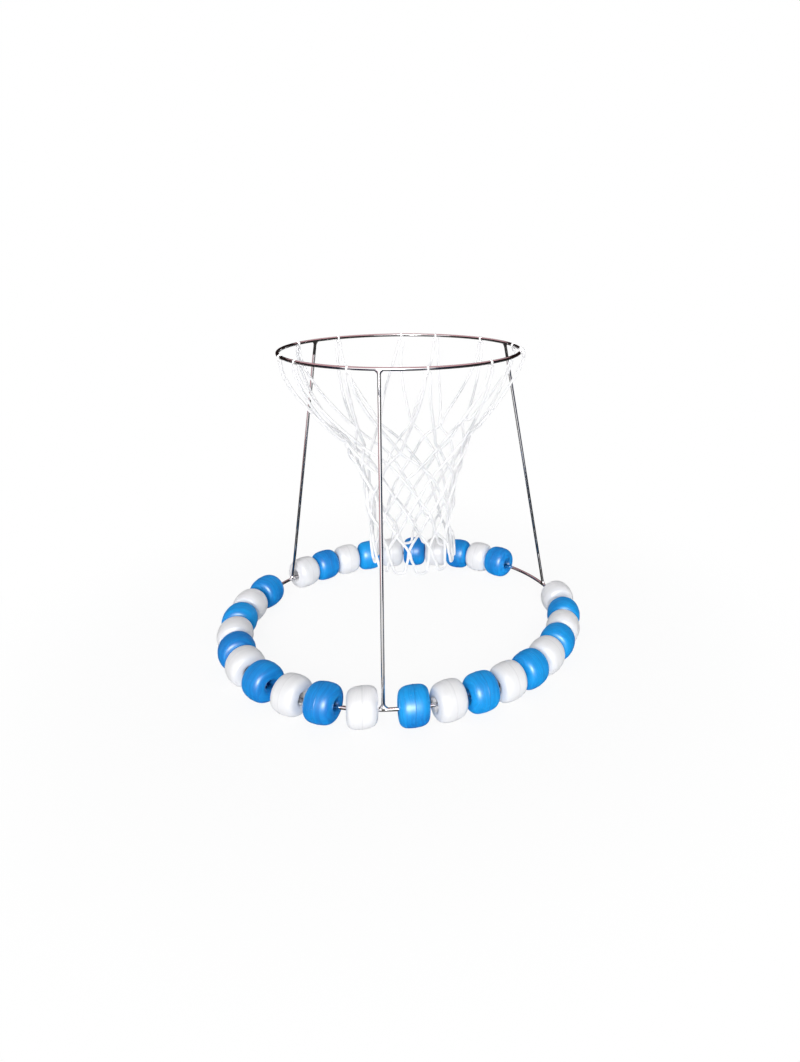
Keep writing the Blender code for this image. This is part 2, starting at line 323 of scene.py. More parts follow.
def apply_modifier(piece, kind, **settings):
    only(piece)
    added = piece.modifiers.new(kind.title(), kind)
    for name, value in settings.items():
        setattr(added, name, value)
    bpy.ops.object.modifier_apply(modifier=added.name)


def smooth(piece, angle=40):
    only(piece)
    bpy.ops.object.shade_smooth_by_angle(angle=math.radians(angle))


def add_object(name, data):
    """An object of that name around its data, put in the scene."""
    made = bpy.data.objects.new(name, data)
    bpy.context.scene.collection.objects.link(made)
    return made


def copy_placed(model, name, matrix):
    """A copy of a model with a mesh of its own, and its place in that mesh."""
    piece = add_object(name, model.data.copy())
    piece.data.name = name
    piece.data.transform(matrix)
    return piece


def finish_piece(piece, material, slot, body, *nodes):
    """Give a piece its material, its body and the nodes that it stands for. The slot is not used."""
    piece.data.materials.clear()
    piece.data.materials.append(material)
    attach(piece, body)
    if nodes:
        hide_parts(*nodes)


def keep_vectors(piece, name, vector_of):
    """Store a vector for each vertex under a name that a material can read."""
    layer = piece.data.attributes.new(name, "FLOAT_VECTOR", "POINT")
    for vertex, item in zip(piece.data.vertices, layer.data):
        item.vector = vector_of(vertex.co)


def keep_numbers(piece, name, number_of):
    """Store a number for each vertex under a name that a material can read."""
    layer = piece.data.attributes.new(name, "FLOAT", "POINT")
    for vertex, item in zip(piece.data.vertices, layer.data):
        item.value = number_of(vertex.co)


class Wire:
    """An output of a node, on which ordinary arithmetic adds Math nodes."""

    def __init__(self, nodes, socket):
        self.nodes = nodes
        self.socket = socket

    def math(self, operation, *values):
        return self.nodes.node("ShaderNodeMath", {"operation": operation}, dict(enumerate(values)))[0]

    def __add__(self, other):
        return self.math("ADD", self, other)

    __radd__ = __add__

    def __sub__(self, other):
        return self.math("SUBTRACT", self, other)

    def __rsub__(self, other):
        return self.math("SUBTRACT", other, self)

    def __mul__(self, other):
        return self.math("MULTIPLY", self, other)

    __rmul__ = __mul__

    def __pow__(self, other):
        return self.math("POWER", self, other)

    def __rpow__(self, other):
        return self.math("POWER", other, self)

    def __abs__(self):
        return self.math("ABSOLUTE", self)

    def sine(self):
        return self.math("SINE", self)

    def either(self, other):
        """The larger of two wires."""
        return self.math("MAXIMUM", self, other)

    def smooth_step(self, start, end):
        """0 below start, 1 above end and a soft rise between them."""
        settings = {"interpolation_type": "SMOOTHSTEP"}
        values = {"Value": self, "From Min": start, "From Max": end}
        return self.nodes.node("ShaderNodeMapRange", settings, values)["Result"]


class Outputs:
    """The outputs of a node, by name or number."""

    def __init__(self, nodes, node):
        self.nodes = nodes
        self.node = node

    def __getitem__(self, key):
        return Wire(self.nodes, self.node.outputs[key])


class Nodes:
    """A tree of shader nodes that is put together node by node."""

    def __init__(self, tree):
        self.tree = tree

    def feed(self, socket, value):
        if isinstance(value, Wire):
            self.tree.links.new(value.socket, socket)
        else:
            socket.default_value = value

    def node(self, kind, settings=None, values=None):
        """Add a node: its settings first, then the values or wires of its inputs."""
        made = self.tree.nodes.new(kind)
        for name, value in (settings or {}).items():
            setattr(made, name, value)
        for key, value in (values or {}).items():
            self.feed(made.inputs[key], value)
        return Outputs(self, made)

    def end_in(self, output, shader):
        """Make a shader the one that the tree's output node shows."""
        self.feed(self.tree.nodes[output].inputs["Surface"], shader)

    def glow(self, colour, strength):
        return self.node("ShaderNodeEmission", None, {"Color": colour, "Strength": strength})["Emission"]

    def blend(self, share, first, second):
        """One shader at share 0, the other at share 1."""
        return self.node("ShaderNodeMixShader", None, {0: share, 1: first, 2: second})["Shader"]

    def seen_plainly(self):
        """1 where the camera, a gloss or a clear surface looks, and 0 for light that falls on the hoop."""
        paths = self.node("ShaderNodeLightPath")
        mirrored = paths["Is Glossy Ray"].either(paths["Is Transmission Ray"])
        return mirrored.either(paths["Is Camera Ray"])


class Finish(Nodes):
    """A material around its main shader."""

    def __init__(self, name):
        self.material = bpy.data.materials.new(name)
        self.material.use_nodes = True
        super().__init__(self.material.node_tree)
        self.shader = self.tree.nodes["Principled BSDF"]

    def object_place(self):
        return self.node("ShaderNodeTexCoord")["Object"]

    def stored(self, name):
        return self.node("ShaderNodeAttribute", {"attribute_name": name})

    def split(self, vector):
        parts = self.node("ShaderNodeSeparateXYZ", None, {"Vector": vector})
        return parts["X"], parts["Y"], parts["Z"]

    def join(self, x, y, z):
        return self.node("ShaderNodeCombineXYZ", None, {"X": x, "Y": y, "Z": z})["Vector"]

    def scaled(self, vector, amounts):
        settings = {"operation": "MULTIPLY"}
        return self.node("ShaderNodeVectorMath", settings, {0: vector, 1: amounts})["Vector"]

    def grain(self, vector, scale, detail=2.0, **values):
        """Noise from 0 to 1 over a vector."""
        inputs = {"Vector": vector, "Scale": scale, "Detail": detail, **values}
        return self.node("ShaderNodeTexNoise", {"noise_dimensions": "3D"}, inputs)["Fac"]

    def mix(self, share, first, second):
        """One colour at share 0, the other at share 1."""
        settings = {"data_type": "RGBA"}
        values = {0: share, 6: first, 7: second}
        return self.node("ShaderNodeMix", settings, values)[2]

    def bump(self, height, strength, distance):
        values = {"Strength": strength, "Distance": distance, "Height": height}
        return self.node("ShaderNodeBump", None, values)["Normal"]

    def surface(self, **values):
        """Set the shader's sockets, with spaces for the underscores in their names."""
        for name, value in values.items():
            self.feed(self.shader.inputs[name.replace("_", " ")], value)
        return self.material


def tint(colour, factor):
    return (*(min(1.0, part*factor) for part in colour), 1)


def steel_finish():
    """Drawn and polished steel: fine lines along the rod, duller and tinted at the welds."""
    finish = Finish("drawn_steel")
    place = finish.object_place()
    weld = finish.stored("weld")["Fac"]
    section = finish.stored("rod_section")["Vector"]
    lines = finish.grain(finish.scaled(section, (1900, 1900, 9)), 1.0, 3.0)
    patches = finish.grain(place, 26.0, 4.0)
    smears = finish.grain(place, 160.0, 3.0)
    colour = tuple(colours().steel)
    drawn = finish.mix(lines.smooth_step(0.3, 0.7), tint(colour, 0.94), tint(colour, 1.05))
    warm = (colour[0]*0.92, colour[1]*0.84, colour[2]*0.80, 1)
    dulled = finish.mix(patches.smooth_step(0.55, 0.78)*0.35, drawn, warm)
    heated = finish.mix(weld*0.30, dulled, (0.42, 0.36, 0.35, 1))
    beads = finish.grain(place, 900.0, 2.0)
    return finish.surface(
        Base_Color=heated,
        Metallic=1.0,
        Roughness=lines*0.03 + smears*0.04 + weld*0.08 + 0.05,
        Normal=finish.bump(lines*(1 - weld) + beads*weld*4.0, 0.15, 0.02*MM))


def plastic_finish(name, colour, deep):
    """Moulded plastic: flow streaks and a parting line round the barrel, light scuffs, and painted shade in
    the mouths.
    """
    finish = Finish(name)
    place = finish.object_place()
    local = finish.stored("barrel_place")["Vector"]
    x, y, z = finish.split(local)
    wander = finish.grain(local, 30.0, 1.0)
    streaks = finish.grain(finish.join(x*9, y*9, z*380 + wander*6.0), 1.0, 3.0)
    broad = finish.grain(place, 9.0, 2.0)
    cloud = finish.grain(local, 55.0, 3.0)
    scuffs = finish.grain(finish.scaled(local, (220, 900, 260)), 1.0, 4.0).smooth_step(0.66, 0.74)
    seam = 1 - abs(z + (wander - 0.5)*0.8*MM).smooth_step(0.6*MM, 1.5*MM)
    from_axis = (x*x + y*y)**0.5
    # Painted shade: the mouths and the bore are darkened towards the deep colour, where the funnel lies in
    # shade.
    mouth = 1 - from_axis.smooth_step(9*MM, 17*MM)
    tone = streaks.smooth_step(0.44, 0.56)*0.28 + cloud*0.1 + broad.smooth_step(0.40, 0.60)*0.60
    base = finish.mix(tone, tint(deep, 1.0), tint(colour, 1.0))
    seamed = finish.mix(seam*0.40, base, tint(deep, 0.85))
    shaded = finish.mix(mouth*0.7, seamed, tint(deep, 0.50))
    scuffed = finish.mix(scuffs*0.12, shaded, (0.92, 0.94, 0.96, 1))
    relief = streaks*0.9 + seam*0.7 + cloud*1.2 - scuffs*0.5
    return finish.surface(
        Base_Color=scuffed,
        Roughness=streaks*0.06 + scuffs*0.20 + cloud*0.06 + 0.36,
        Specular_IOR_Level=0.18,
        Normal=finish.bump(relief, 0.18, 0.12*MM))


def cord_finish():
    """Braided cord: two sets of strands wound opposite ways, with a little fuzz, painted shade in the
    grooves and grey stretches of soiling and painted shade.
    """
    finish = Finish("braided_cord")
    run = finish.node("ShaderNodeUVMap", {"uv_map": "cord_run"})["UV"]
    length, turn, _ = finish.split(run)
    place = finish.object_place()
    strands = 5
    pitch = 14*MM
    one_way = (length*(2*math.pi/pitch) + turn*(2*math.pi*strands)).sine()
    other_way = (length*(2*math.pi/pitch) - turn*(2*math.pi*strands)).sine()
    weave = abs(one_way)**0.5*abs(other_way)**0.5
    fuzz = finish.grain(place, 2600.0, 2.0)
    # Grey stretches at random along the cord: soiling, and painted shade for stretches of the net that lie
    # in shade.
    soil_and_shade = finish.grain(place, 14.0, 3.0)
    colour = tuple(colours().cord)
    # Painted shade: the braid's grooves are a little darker than the crowns of its strands.
    shade = finish.mix(weave.smooth_step(0.05, 0.6), tint(colour, 0.94), tint(colour, 1.0))
    soiled_and_shaded = finish.mix(soil_and_shade.smooth_step(0.56, 0.66)*0.5, shade, (0.56, 0.58, 0.60, 1))
    return finish.surface(
        Base_Color=soiled_and_shaded,
        Roughness=fuzz*0.15 + 0.72,
        Specular_IOR_Level=0.05,
        Normal=finish.bump(weave + fuzz*0.35, 0.3, 0.2*MM))


def band_finish():
    """Satin white band: faint ribs along it and a slightly soiled edge."""
    finish = Finish("ribbed_band")
    place = finish.object_place()
    local = finish.stored("band_place")["Vector"]
    _, _, across = finish.split(local)
    ribs = (across*(2*math.pi/(0.5*MM))).sine()*0.5 + 0.5
    spots = finish.grain(place, 420.0, 3.0)
    colour = tuple(colours().band)
    base = finish.mix(spots.smooth_step(0.45, 0.75)*0.5, tint(colour, 1.0), tint(colour, 0.86))
    return finish.surface(
        Base_Color=finish.mix(ribs*0.12, base, tint(colour, 0.75)),
        Roughness=spots*0.15 + 0.38,
        Normal=finish.bump(ribs*0.6 + spots*0.4, 0.3, 0.08*MM))


def floor_finish():
    """Pale floor that keeps the hoop's shadow and runs out to plain white."""
    finish = Finish("pale_floor")
    place = finish.object_place()
    colour = tuple(colours().floor)
    speckle = finish.grain(place, 60.0, 3.0)
    finish.surface(
        Base_Color=finish.mix(speckle, tint(colour, 0.995), tint(colour, 1.005)),
        Roughness=0.9,
        Specular_IOR_Level=0.1)
    distance = finish.node("ShaderNodeVectorMath", {"operation": "LENGTH"}, {0: place})["Value"]
    white_share = (distance.smooth_step(0.38, 0.90)*0.10 + 0.90)*finish.seen_plainly()
    lit = Wire(finish, finish.shader.outputs["BSDF"])
    finish.end_in("Material Output", finish.blend(white_share, lit, finish.glow((1, 1, 1, 1), 1.0)))
    return finish.material


def steel():
    """The rods' material, made when a rod first needs it."""
    return bpy.data.materials.get("drawn_steel") or steel_finish()


def add_rod_ring(name, node, radius, height, rod):
    """A rod's section set on the ring's line, spun round once and closed by a butt weld."""
    ring = start_piece(
        name, bpy.ops.mesh.primitive_circle_add, vertices=rod_sides, radius=rod/2,
        fill_type="NOTHING", location=(0, radius, height), rotation=(0, math.pi/2, 0))
    bpy.ops.mesh.spin(steps=ring_steps, angle=2*math.pi, center=(0, 0, height), axis=(0, 0, 1))
    merge_and_face_outwards()
    end_shaping()
    apply_place(ring)
    bpy.ops.object.mode_set(mode="EDIT")
    weld_half_length = math.pi*radius/ring_steps*1.5
    swell = (1, butt_weld_swell, butt_weld_swell)
    for reach in (2*weld_half_length, weld_half_length):
        select_where(ring, lambda place: place.y > 0 and abs(place.x) < reach)
        bpy.ops.transform.resize(value=swell, center_override=(0, radius, height))
    end_shaping()
    keep_vectors(ring, "rod_section", lambda place: (
        math.hypot(place.x, place.y) - radius, place.z - height, 0))
    keep_numbers(ring, "weld", lambda place: (
        max(0.0, 1 - abs(place.x)/(3*weld_half_length)) if place.y > 0 else 0.0))
    smooth(ring)
    finish_piece(ring, steel(), "polished_steel", "frame", node)


def leg_section(height, length, sizes):
    """Half width and half depth of a leg and its welds at a height above its foot."""
    sunk_share, flare_power, bulge_share = 0.85, 2.6, 0.12
    end = min(height, length - height)
    ring_rod = sizes.ring_rod if height < length/2 else sizes.rim_rod
    weld = 1 - min(1.0, max(0.0, (end - ring_rod/2*sunk_share)/sizes.weld_height))
    half = sizes.leg_rod/2
    return (half + (sizes.weld_reach - half)*weld**flare_power, half + half*bulge_share*weld**2)


def leg_heights(length, sizes):
    """Heights of a leg's rings, close together at its welds and far apart between them."""
    weld_steps, rod_steps = 12, 24
    reach = sizes.weld_height + sizes.ring_rod
    near = [reach*step/weld_steps for step in range(weld_steps + 1)]
    far = [reach + (length - 2*reach)*step/rod_steps for step in range(1, rod_steps)]
    return near + far + [length - height for height in reversed(near)]


def add_leg(index, sizes):
    """A rod drawn out ring by ring from the float ring to the rim, wide at both welds."""
    third = 2*math.pi/len(leg_names)
    foot_heading = index*third + leg_foot_turns[index]
    top_heading = index*third + leg_top_turns[index]
    foot = point_on_circle(sizes.ring_radius, foot_heading, sizes.ring_height)
    top = point_on_circle(sizes.rim_radius, top_heading, sizes.rim_height)
    length = (top - foot).length
    heights = leg_heights(length, sizes)
    half_width, half_depth = leg_section(heights[0], length, sizes)
    leg = start_piece(
        f"leg_{leg_names[index]}_rod", bpy.ops.mesh.primitive_circle_add,
        vertices=rod_sides, radius=1, fill_type="NGON")
    bpy.ops.transform.resize(value=(half_width, half_depth, 1), center_override=(0, 0, 0))
    for low, high in zip(heights, heights[1:]):
        next_width, next_depth = leg_section(high, length, sizes)
        bpy.ops.mesh.extrude_region_move(TRANSFORM_OT_translate={"value": (0, 0, high - low)})
        bpy.ops.transform.resize(
            value=(next_width/half_width, next_depth/half_depth, 1), center_override=(0, 0, high))
        half_width, half_depth = next_width, next_depth
    merge_and_face_outwards()
    end_shaping()
    weld_end = sizes.ring_rod/2 + sizes.weld_height
    keep_vectors(leg, "rod_section", lambda place: tuple(place))
    keep_numbers(leg, "weld", lambda place: (
        max(0.0, 1 - (min(place.z, length - place.z)/weld_end)**3)))
    axis = (top - foot).normalized()
    depth = axis.cross(along((foot_heading + top_heading)/2)).normalized()
    leg.data.transform(placement(depth.cross(axis), depth, axis, foot))
    smooth(leg)
    finish_piece(leg, steel(), "polished_steel", "frame", f"leg_{leg_names[index]}")


def float_section(sizes):
    """Rings of a float from its middle over one end and back through the bore."""
    half = sizes.length/2
    crown = sizes.diameter/2
    bore = sizes.bore/2
    outer = [(radius*crown, height*half) for radius, height in float_section_shares]
    lip_radius, lip_height = outer[-1]
    depth = sizes.mouth_depth
    roll = []
    steps = 7
    for step in range(1, steps + 1):
        turn = math.pi/2*step/steps
        radius = bore + (lip_radius - bore)*(1 - math.sin(turn))
        roll.append((radius, lip_height - depth*(1 - math.cos(turn))))
    seam = sizes.seam_width/2
    outer[:1] = [(crown + sizes.seam_height, 0), (crown + sizes.seam_height, seam*0.4), (crown, seam)]
    return outer + roll + [(bore, half/4), (bore, 0)]


def model_float(sizes):
    """One float, drawn out ring by ring from its seam, mirrored and smoothed."""
    section = float_section(sizes)
    radius, height = section[0]
    barrel = start_piece(
        "float_model", bpy.ops.mesh.primitive_circle_add,
        vertices=sizes.sides, radius=radius, fill_type="NOTHING")
    for next_radius, next_height in section[1:]:
        bpy.ops.mesh.extrude_region_move(
            TRANSFORM_OT_translate={"value": (0, 0, next_height - height)})
        ratio = next_radius/radius
        bpy.ops.transform.resize(value=(ratio, ratio, 1), center_override=(0, 0, next_height))
        radius, height = next_radius, next_height
    end_shaping()
    apply_modifier(barrel, "MIRROR", use_axis=(False, False, True), merge_threshold=0.02*MM)
    only(barrel)
    bpy.ops.object.mode_set(mode="EDIT")
    merge_and_face_outwards()
    end_shaping()
    apply_modifier(barrel, "SUBSURF", levels=1, render_levels=1)
    keep_vectors(barrel, "barrel_place", lambda place: tuple(place))
    smooth(barrel, 60)
    return barrel


def add_all_floats():
    sizes = floats()
    model = model_float(sizes)
    kinds = {
        "blue": plastic_finish("moulded_blue", colours().blue, colours().blue_deep),
        "white": plastic_finish("moulded_white", colours().white, colours().white_deep)}
    for joint in frame["joints"]:
        node = joint["child"]
        kind = node.rsplit("_", 1)[1]
        axis = Vector(joint["axis"])
        side = axis.cross(UP).normalized()
        number = int(node.split("_")[1])
        spin = Matrix.Rotation(number*float_turn, 4, "Z")
        matrix = placement(side, axis.cross(side), axis, Vector(joint["pos_m"])) @ spin
        piece = copy_placed(model, node.replace("float", "barrel"), matrix)
        finish_piece(piece, kinds[kind], f"{kind}_plastic", node, node)
    bpy.data.objects.remove(model, do_unlink=True)


def net_hang_drop():
    """Drop from the rim's middle line to the middle of a cord that hangs under it."""
    return rods().rim_rod/2 + 0.3*MM + net_sizes().cord/2


def net_point(radius, heading, drop):
    """A point of the net; the lower net hangs a little to one side."""
    sizes = net_sizes()
    place = point_on_circle(radius, heading, rods().rim_height - drop)
    place.x += sizes.drift*min(1.0, drop/(sizes.drop*net_drift_end_share))**2
    return place


def net_heading(loop):
    return net_first_heading + loop*loop_spacing


def tie_heading(loop):
    return net_heading(loop + net_tie_slide_shares[loop])


def strand_point(loop, side, share):
    """A point of one strand between its loop's top and the first row of knots."""
    sizes = net_sizes()
    rim = rods().rim_radius
    loop_end = net_hang_drop() + sizes.loop_rise
    drop = loop_end + (sizes.drop*net_row_drop_shares[0] - loop_end)*share
    radius = rim - rim*(1 - net_row_radius_shares[0])*share**net_sag_power
    narrow = sizes.loop_half_width/rim
    spread = narrow + (loop_spacing/2 - narrow)*share**net_spread_power
    middle = tie_heading(loop)*(1 - share) + net_heading(loop)*share
    if loop in net_wrapped_loops:
        radius += net_hang_drop()*max(0.0, 1 - share/wrap_end_share)
    return net_point(radius, middle + side*spread, drop)


def knot_heading(row, number):
    """Heading of a knot: every other row stands between the loops' middles."""
    return net_heading(number) + loop_spacing/2*((row + 1) % 2)


def knot_place(row, number, lift=0.0):
    """Middle of a knot, lifted outwards for a strand that passes over it."""
    number = number % net_loops
    aside, lower, wider = net_pulled_knots.get(number, (0, 0, 0)) if row == 0 else (0, 0, 0)
    uneven = knot_stray_aside*math.sin(2.4*number + 1.7*row)
    heading = knot_heading(row, number) + (aside + uneven)*loop_spacing
    drop = net_row_drop_shares[row] + lower + knot_stray_drop*math.sin(1.9*number + 2.3*row)
    radius = rods().rim_radius*(net_row_radius_shares[row] + wider) + lift
    return net_point(radius, heading, net_sizes().drop*drop)


def strand_numbers(loop, side):
    """Numbers of the knots that a strand passes on its way down, row by row."""
    first = loop if side > 0 else loop - 1
    return [first + side*((row + (side > 0)) // 2) for row in range(net_rows)]


def strand_knots(loop, side):
    """Points through a strand's knots, over and under the other strand in turn."""
    cord = net_sizes().cord
    points = []
    for row, number in enumerate(strand_numbers(loop, side)):
        over = side if row % 2 == 0 else -side
        points.append(knot_place(row, number, over*cord*strand_lift_share))
    return points


def bend_point(loop, turn):
    """A point of the bend at a loop's top: under the rim, or over its outside where it is wrapped."""
    sizes = net_sizes()
    reach = net_hang_drop()
    heading = tie_heading(loop) + sizes.loop_half_width*math.sin(turn)/rods().rim_radius
    if loop in net_wrapped_loops:
        round_rod = abs(turn)*1.5
        return net_point(rods().rim_radius + reach*math.sin(round_rod), heading, -reach*math.cos(round_rod))
    return net_point(rods().rim_radius, heading, reach + sizes.loop_rise*(1 - math.cos(turn))**1.2*0.9)


def loop_points(loop):
    """One loop of cord: up one strand, round its bend at the rim and down the other strand."""
    steps = 9
    shares = [step/steps for step in range(steps)]
    left = [strand_point(loop, -1, share) for share in shares] + strand_knots(loop, -1)
    right = [strand_point(loop, 1, share) for share in shares] + strand_knots(loop, 1)
    bend = [bend_point(loop, math.radians(turn)) for turn in (-60, -30, 0, 30, 60)]
    return left[::-1] + bend + right


def hem_point(loop, aside, down, lift):
    """A point of a hem loop: aside in loop spacings, down as a share below the last crossing."""
    sizes = net_sizes()
    drop = net_hem_crossing_share + (1 - net_hem_crossing_share)*down
    lean = 0.06*math.sin(2.1*loop)*down
    heading = net_heading(loop) + (aside + lean)*loop_spacing
    place = net_point(rods().rim_radius*net_hem_radius_share + lift, heading, sizes.drop*drop)
    place.x += sizes.hem_drift*(0.4 + 0.6*down)
    return place


def hem_points(loop):
    """A hanging loop whose two ends cross its neighbours before they reach their knots."""
    cord = net_sizes().cord
    lift = cord*hem_lift_share
    last = net_rows - 1
    steps, down_power, belly_power, crossing_power = 10, 0.8, 0.42, 12
    length_share = 1 - 0.10*(0.5 + 0.5*math.sin(3.7*loop))
    points = [knot_place(last, loop - 1, lift)]
    for step in range(steps + 1):
        turn = math.pi*step/steps
        down = math.sin(turn)**down_power*length_share
        spread = abs(math.cos(turn))
        belly = net_hem_belly_share*spread**belly_power
        width = belly + (0.5 - net_hem_belly_share)*spread**crossing_power
        aside = -math.copysign(width, math.cos(turn))
        points.append(hem_point(loop, aside, down, cord*0.5*math.cos(turn)))
    return points + [knot_place(last, loop + 1, -lift)]


def add_cord(name, points, diameter):
    """A round cord along smooth curves through its points, with its run kept as a UV map."""
    curve = bpy.data.curves.new(name, "CURVE")
    curve.dimensions = "3D"
    curve.bevel_depth = diameter/2
    curve.bevel_resolution = 3
    curve.resolution_u = 5
    curve.use_fill_caps = True
    line = curve.splines.new("BEZIER")
    line.bezier_points.add(len(points) - 1)
    for bezier, place in zip(line.bezier_points, points):
        bezier.co = place
        bezier.handle_left_type = "AUTO"
        bezier.handle_right_type = "AUTO"
    sides = 4 + 2*curve.bevel_resolution
    piece = add_object(name, curve)
    only(piece)
    bpy.ops.object.convert(target="MESH")
    keep_cord_run(piece, sides)
    return piece


def keep_cord_run(piece, sides):
    """A UV map that holds the length along a cord, in metres, and the share of a turn round it."""
    mesh = piece.data
    places = [vertex.co for vertex in mesh.vertices]
    # The rings of the two end caps come first in the mesh
    starts = range(2*sides, len(places), sides)
    middles = [sum(places[first:first + sides], Vector())/sides for first in starts]
    along_cord = [0.0]
    for before, after in zip(middles, middles[1:]):
        along_cord.append(along_cord[-1] + (after - before).length)
    lengths = [0.0, along_cord[-1]] + along_cord
    layer = mesh.uv_layers.new(name="cord_run")
    for face in mesh.polygons:
        turns = [mesh.loops[corner].vertex_index % sides for corner in face.loop_indices]
        wraps = max(turns) - min(turns) > sides/2
        for corner, turn in zip(face.loop_indices, turns):
            ring = min(mesh.loops[corner].vertex_index // sides, len(lengths) - 1)
            whole = turn + sides if wraps and turn < sides/2 else turn
            layer.data[corner].uv = (lengths[ring], whole/sides)


def join_pieces(pieces, name):
    bpy.ops.object.select_all(action="DESELECT")
    for piece in pieces:
        piece.select_set(True)
    bpy.context.view_layer.objects.active = pieces[0]
    bpy.ops.object.join()
    joined = bpy.context.object
    joined.name = name
    joined.data.name = name
    return joined


def model_knot(cord):
    """One turn of cord that grips two crossing strands, pulled flat and tilted."""
    knot = start_piece(
        "knot_model", bpy.ops.mesh.primitive_torus_add,
        major_segments=14, minor_segments=8, major_radius=cord*0.60, minor_radius=cord*0.28)
    bpy.ops.transform.resize(value=(0.80, 1.05, 0.85), center_override=(0, 0, 0))
    select_where(knot, lambda place: place.x > 0)
    bpy.ops.transform.translate(value=(0, 0, cord*0.16))
    bpy.ops.mesh.select_all(action="INVERT")
    bpy.ops.transform.translate(value=(0, 0, -cord*0.16))
    end_shaping()
    knot.data.uv_layers.active.name = "cord_run"
    around = 2*math.pi*cord*0.66
    for item in knot.data.uv_layers["cord_run"].data:
        item.uv = (item.uv.x*around, item.uv.y)
    return knot


def knot_matrix(row, number):
    """Placement of a knot: X along the rim, Y outwards and Z up the net."""
    heading = knot_heading(row, number)
    sideways = along(heading)
    upper = min(row, net_rows - 2)
    slope = knot_place(upper, number) - knot_place(upper + 1, number)
    rise = slope - sideways*slope.dot(sideways)
    outer = point_on_circle(1, heading, 0)
    rise = (UP*rise.z + outer*rise.dot(outer)).normalized()
    return placement(sideways, rise.cross(sideways), rise, knot_place(row, number))


def add_net_cords():
    """The net's loops and hem as cord, and a turn of cord at every knot."""
    cord = net_sizes().cord
    material = cord_finish()
    cords = []
    for loop in range(net_loops):
        cords.append(add_cord(f"net_loop_{loop + 1:02d}", loop_points(loop), cord))
        cords.append(add_cord(f"net_hem_{loop + 1:02d}", hem_points(loop), cord))
    net = join_pieces(cords, "net_cords")
    smooth(net, 60)
    finish_piece(net, material, "white_cord", "frame", "net")
    model = model_knot(cord)
    knots = []
    for row in range(net_rows):
        for number in range(net_loops):
            knots.append(copy_placed(model, "knot", knot_matrix(row, number)))
    bpy.data.objects.remove(model, do_unlink=True)
    joined = join_pieces(knots, "net_knots")
    smooth(joined, 60)
    finish_piece(joined, material, "white_cord", "frame")


def model_tie():
    """A band drawn round the rim's rod and the cord below it, with rounded edges."""
    sizes = net_sizes()
    clearance = 0.15*MM
    inner = rods().rim_rod/2 + clearance
    lower = sizes.cord/2 + clearance
    band = start_piece(
        "tie_model", bpy.ops.mesh.primitive_circle_add,
        vertices=36, radius=inner, fill_type="NOTHING")
    select_where(band, lambda place: place.y < -0.05*inner)
    bpy.ops.transform.resize(value=(lower/inner, lower/inner, 1), center_override=(0, 0, 0))
    bpy.ops.transform.translate(value=(0, -net_hang_drop(), 0))
    bpy.ops.mesh.select_all(action="SELECT")
    bpy.ops.transform.translate(value=(0, 0, -sizes.tie_width/2))
    for _ in range(2):
        bpy.ops.mesh.extrude_region_move(
            TRANSFORM_OT_translate={"value": (0, 0, sizes.tie_width/2)})
    bpy.ops.mesh.select_all(action="SELECT")
    bpy.ops.mesh.normals_make_consistent(inside=False)
    end_shaping()
    apply_modifier(band, "SOLIDIFY", thickness=sizes.tie_thickness, offset=1.0)
    apply_modifier(band, "BEVEL", width=0.4*MM, segments=3, limit_method="ANGLE")
    keep_vectors(band, "band_place", lambda place: tuple(place))
    smooth(band)
    return band


def add_all_ties():
    model = model_tie()
    material = band_finish()
    for loop in range(net_loops):
        heading = tie_heading(loop)
        radial = point_on_circle(1, heading, 0)
        place = point_on_circle(rods().rim_radius, heading, rods().rim_height)
        matrix = placement(radial, UP, radial.cross(UP), place)
        if loop in net_wrapped_loops:
            matrix = matrix @ wrapped_tie_turn @ wrapped_tie_stretch
        piece = copy_placed(model, f"tie_band_{loop + 1:02d}", matrix)
        finish_piece(piece, material, "white_band", "frame", f"net_tie_{loop + 1:02d}")
    bpy.data.objects.remove(model, do_unlink=True)


def add_lamp(name, place, target, strength):
    """An even soft light from far away, in the direction from its place to a target."""
    data = bpy.data.lights.new(name, "SUN")
    data.energy = strength
    data.angle = studio().key_angle
    data.color = (1, 0.99, 0.98)
    lamp = add_object(name, data)
    lamp.location = place
    lamp.rotation_euler = (Vector(target) - Vector(place)).to_track_quat("-Z", "Y").to_euler()
    return lamp


def add_camera():
    """The photograph's camera, found from the rings, the legs' ends and the floats."""
    round_hoop, pitch, yaw, roll = 0.1383, 0.1434, 0.1554, 0.0119
    turn = Matrix.Rotation(round_hoop, 3, "Z")
    image_size = Vector((800, 1062))
    focal_pixels = 788.26
    middle = Vector((523.37, 351.06))
    place = turn @ Vector((0, -studio().camera_distance, studio().camera_height))
    place.z += rods().ring_height
    forward = turn @ Vector((
        math.sin(yaw)*math.cos(pitch), math.cos(yaw)*math.cos(pitch), -math.sin(pitch)))
    level = turn @ Vector((math.cos(yaw), -math.sin(yaw), 0))
    upright = level.cross(forward)
    right = math.cos(roll)*level + math.sin(roll)*upright
    top = math.cos(roll)*upright - math.sin(roll)*level
    data = bpy.data.cameras.new("photo_camera")
    data.sensor_width = 36
    data.lens = focal_pixels/image_size.y*data.sensor_width
    data.shift_x = ((image_size.x - 1)/2 - middle.x)/image_size.y
    data.shift_y = (middle.y - (image_size.y - 1)/2)/image_size.y
    camera = add_object("photo_camera", data)
    camera.matrix_world = placement(right, top, -forward, place)
    bpy.context.scene.camera = camera


def set_world():
    """Plain light from all round, and pure white where the camera or a gloss sees past the floor."""
    world = bpy.context.scene.world or bpy.data.worlds.new("studio")
    bpy.context.scene.world = world
    world.use_nodes = True
    nodes = Nodes(world.node_tree)
    room = nodes.node("ShaderNodeBackground", None, {
        "Color": (0.97, 0.98, 1.0, 1), "Strength": studio().room_light})
    white = nodes.node("ShaderNodeBackground", None, {"Color": (1, 1, 1, 1), "Strength": 1.0})
    both = nodes.blend(nodes.seen_plainly(), room["Background"], white["Background"])
    nodes.end_in("World Output", both)


